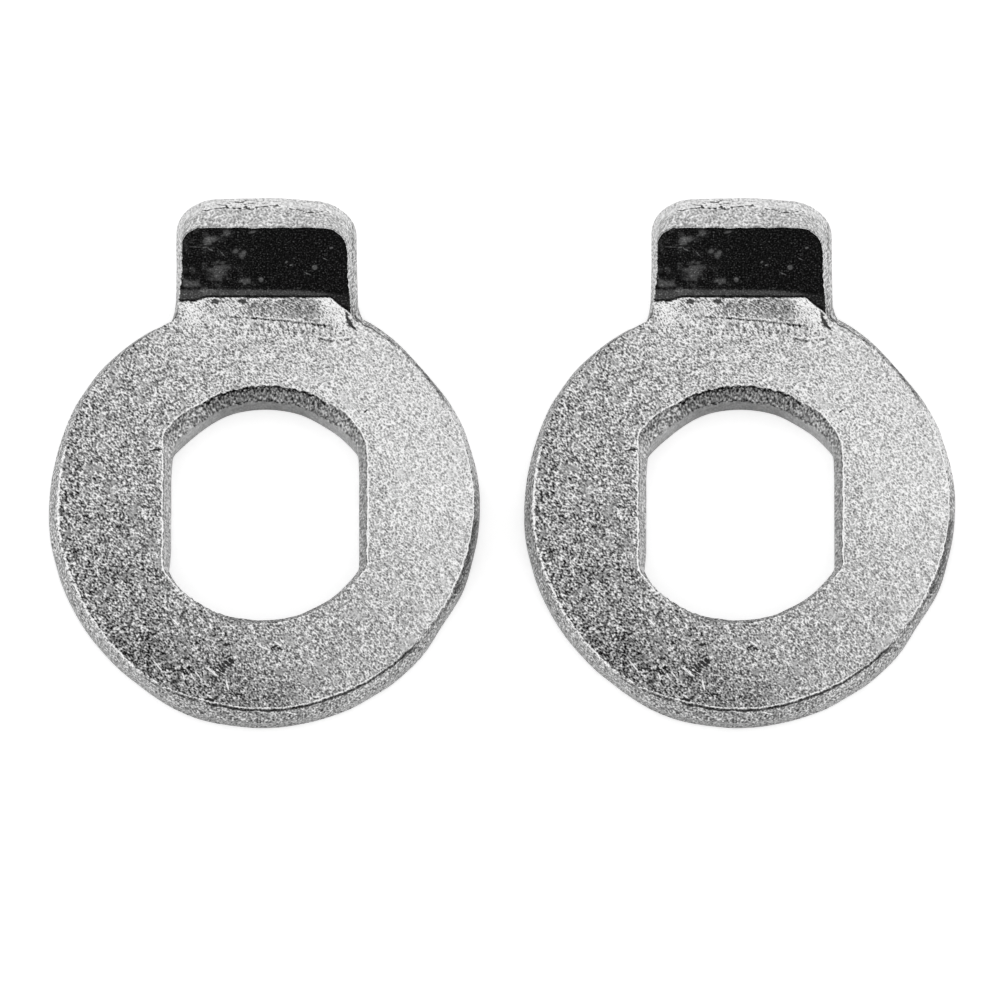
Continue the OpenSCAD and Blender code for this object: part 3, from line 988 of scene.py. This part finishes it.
def punched_hole():
    """Hole's wall: smooth sheared band below, dark torn flare above with a black ragged upper lip. Painted
    shade darkens its rear middle.
    """
    f = Finish("punched hole", grain_scale=9.0, stretch=(1.0, 1.0, 0.3))
    x, y, z = f.x, f.y, f.z
    flat = by_flats(f)
    raised = x.ease(*RAISED_X) * y.ease(*RAISED_Y)
    band_top = 1.80 + raised * RAISED_HEIGHT + f.wander * 0.12 + f.ragged * 0.06
    flare = (z - band_top).ease(-0.05, 0.05)
    # The rear middle, where painted shade makes band and flare darker than along the flats and the ends
    middle = 1 - x.math("ABSOLUTE").ease(0.5, 4.5)
    sides = x.math("ABSOLUTE").ease(1.5, 4.5) * (1 - flat) * y.ease(0.0, 1.0)
    band = 0.72 - middle * 0.07 + flat * 0.13 + sides * 0.14 + f.wander * 0.06 + f.ragged * 0.04
    band = band + f.grain * (flat * 0.05 + 0.03)
    ends = x.math("ABSOLUTE").ease(2.4, 4.2) * (1 - flat)
    torn = 0.66 + flat * 0.20 + ends * 0.14 - x * flat * 0.01 + f.grain * (0.15 - flat * 0.06)
    # A dark line of painted shade just above the band in the rear middle
    torn = torn - (z - 1.86 - f.wander * 0.12).within(-0.02, 0.05, 0.03) * middle * 0.25
    crack = z.within(0.15, 0.34, 0.05) * x.within(-4.75, -3.75, 0.15) * y.ease(0.0, 1.0)
    wall = band.towards(torn, flare) - crack * 0.30

    # Black lip, ragged and in lengths over the rear of the hole, and a thin dark line along the flats
    lip = (f.from_hole + 0.20 + f.ragged * 0.22).ease(-0.04, 0.04) * (1 - f.from_hole.ease(-0.03, 0.0))
    lengths = f.broken(1.8).towards(1.0, 0.25) * y.ease(0.0, 1.0) * (1 - flat) * (1 - ends * 0.7)
    wall = wall - lip * lengths * 0.50
    wall = wall - f.from_hole.within(-0.10, -0.01, 0.03) * flat * f.broken(2.4) * 0.30
    return f.close(wall, SHEARED_ROUGHNESS + flare * 0.10, f.height * flare, TORN_DEPTH)


finishes = (plated_face(), punched_hole(), sheared_rim())
for node in WASHERS:
    low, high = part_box(node)
    centre = ((low[0] + high[0]) / 2 / MM, low[1] / MM + SOLID_RADIUS)
    piece = washer_mesh("dressed_" + node, centre, finishes)
    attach(piece, "root")
    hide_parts(node)

# Camera, far off on a long lens, from the front and steeply down. One pixel is 0.054 mm at the washers,
# and the middle of the pair and the line of the holes lie PAIR_COLUMN and HOLE_ROW pixels in.
PIXEL = 0.054 * MM
IMAGE = 1001
PAIR_COLUMN = 502.75
HOLE_ROW = 503.5
TILT = math.radians(14.8)
DISTANCE = 2.5
SENSOR = 36.0
hole_y = centre[1] * MM
aim_x = (IMAGE / 2 - PAIR_COLUMN) * PIXEL
aim_up = (HOLE_ROW - IMAGE / 2) * PIXEL
target = np.array([aim_x, hole_y + aim_up * math.cos(TILT), THICKNESS * MM + aim_up * math.sin(TILT)])
camera = bpy.data.objects.new("camera", bpy.data.cameras.new("camera"))
camera.data.sensor_width = SENSOR
camera.data.lens = SENSOR * DISTANCE / (IMAGE * PIXEL)
camera.data.clip_start = 0.01
camera.data.clip_end = 10.0
camera.location = target + DISTANCE * np.array([0.0, -math.sin(TILT), math.cos(TILT)])
camera.rotation_euler = (TILT, 0.0, 0.0)
bpy.context.scene.collection.objects.link(camera)
bpy.context.scene.camera = camera

# The floor in metres, its own grey, and the light it sends out to the camera and into the steel
FLOOR_SIZE = 3.0
FLOOR_GREY = 0.8
CAMERA_LIFT = 0.47
MIRROR_LIFT = 0.03


def white_paper():
    """Pale matt floor. Camera and mirror rays see it lifted to white, with the washers' shadow kept."""
    material = bpy.data.materials.new("white paper")
    material.use_nodes = True
    tree = material.node_tree
    tree.nodes.remove(tree.nodes["Principled BSDF"])
    rays = tree.nodes.new("ShaderNodeLightPath")
    camera_ray = Field(tree, rays.outputs["Is Camera Ray"])
    glossy_ray = Field(tree, rays.outputs["Is Glossy Ray"])
    diffuse = tree.nodes.new("ShaderNodeBsdfDiffuse")
    diffuse.inputs["Color"].default_value = (FLOOR_GREY, FLOOR_GREY, FLOOR_GREY, 1.0)
    lift = tree.nodes.new("ShaderNodeEmission")
    plug(tree, lift.inputs["Strength"], camera_ray * CAMERA_LIFT + glossy_ray * MIRROR_LIFT)
    both = tree.nodes.new("ShaderNodeAddShader")
    tree.links.new(diffuse.outputs[0], both.inputs[0])
    tree.links.new(lift.outputs[0], both.inputs[1])
    tree.links.new(both.outputs[0], tree.nodes["Material Output"].inputs["Surface"])
    return material


bpy.ops.mesh.primitive_plane_add(size=FLOOR_SIZE, location=(0, 0, 0))
floor = bpy.context.object
floor.name = "floor"
floor.data.materials.append(white_paper())


def studio():
    """An even white room, whose light shows a colour as it is written."""
    world = bpy.data.worlds.new("studio")
    world.use_nodes = True
    background = world.node_tree.nodes["Background"]
    background.inputs["Color"].default_value = (1.0, 1.0, 1.0, 1.0)
    background.inputs["Strength"].default_value = 1.0
    return world


bpy.context.scene.world = studio()
bpy.context.scene.view_settings.view_transform = "Standard"
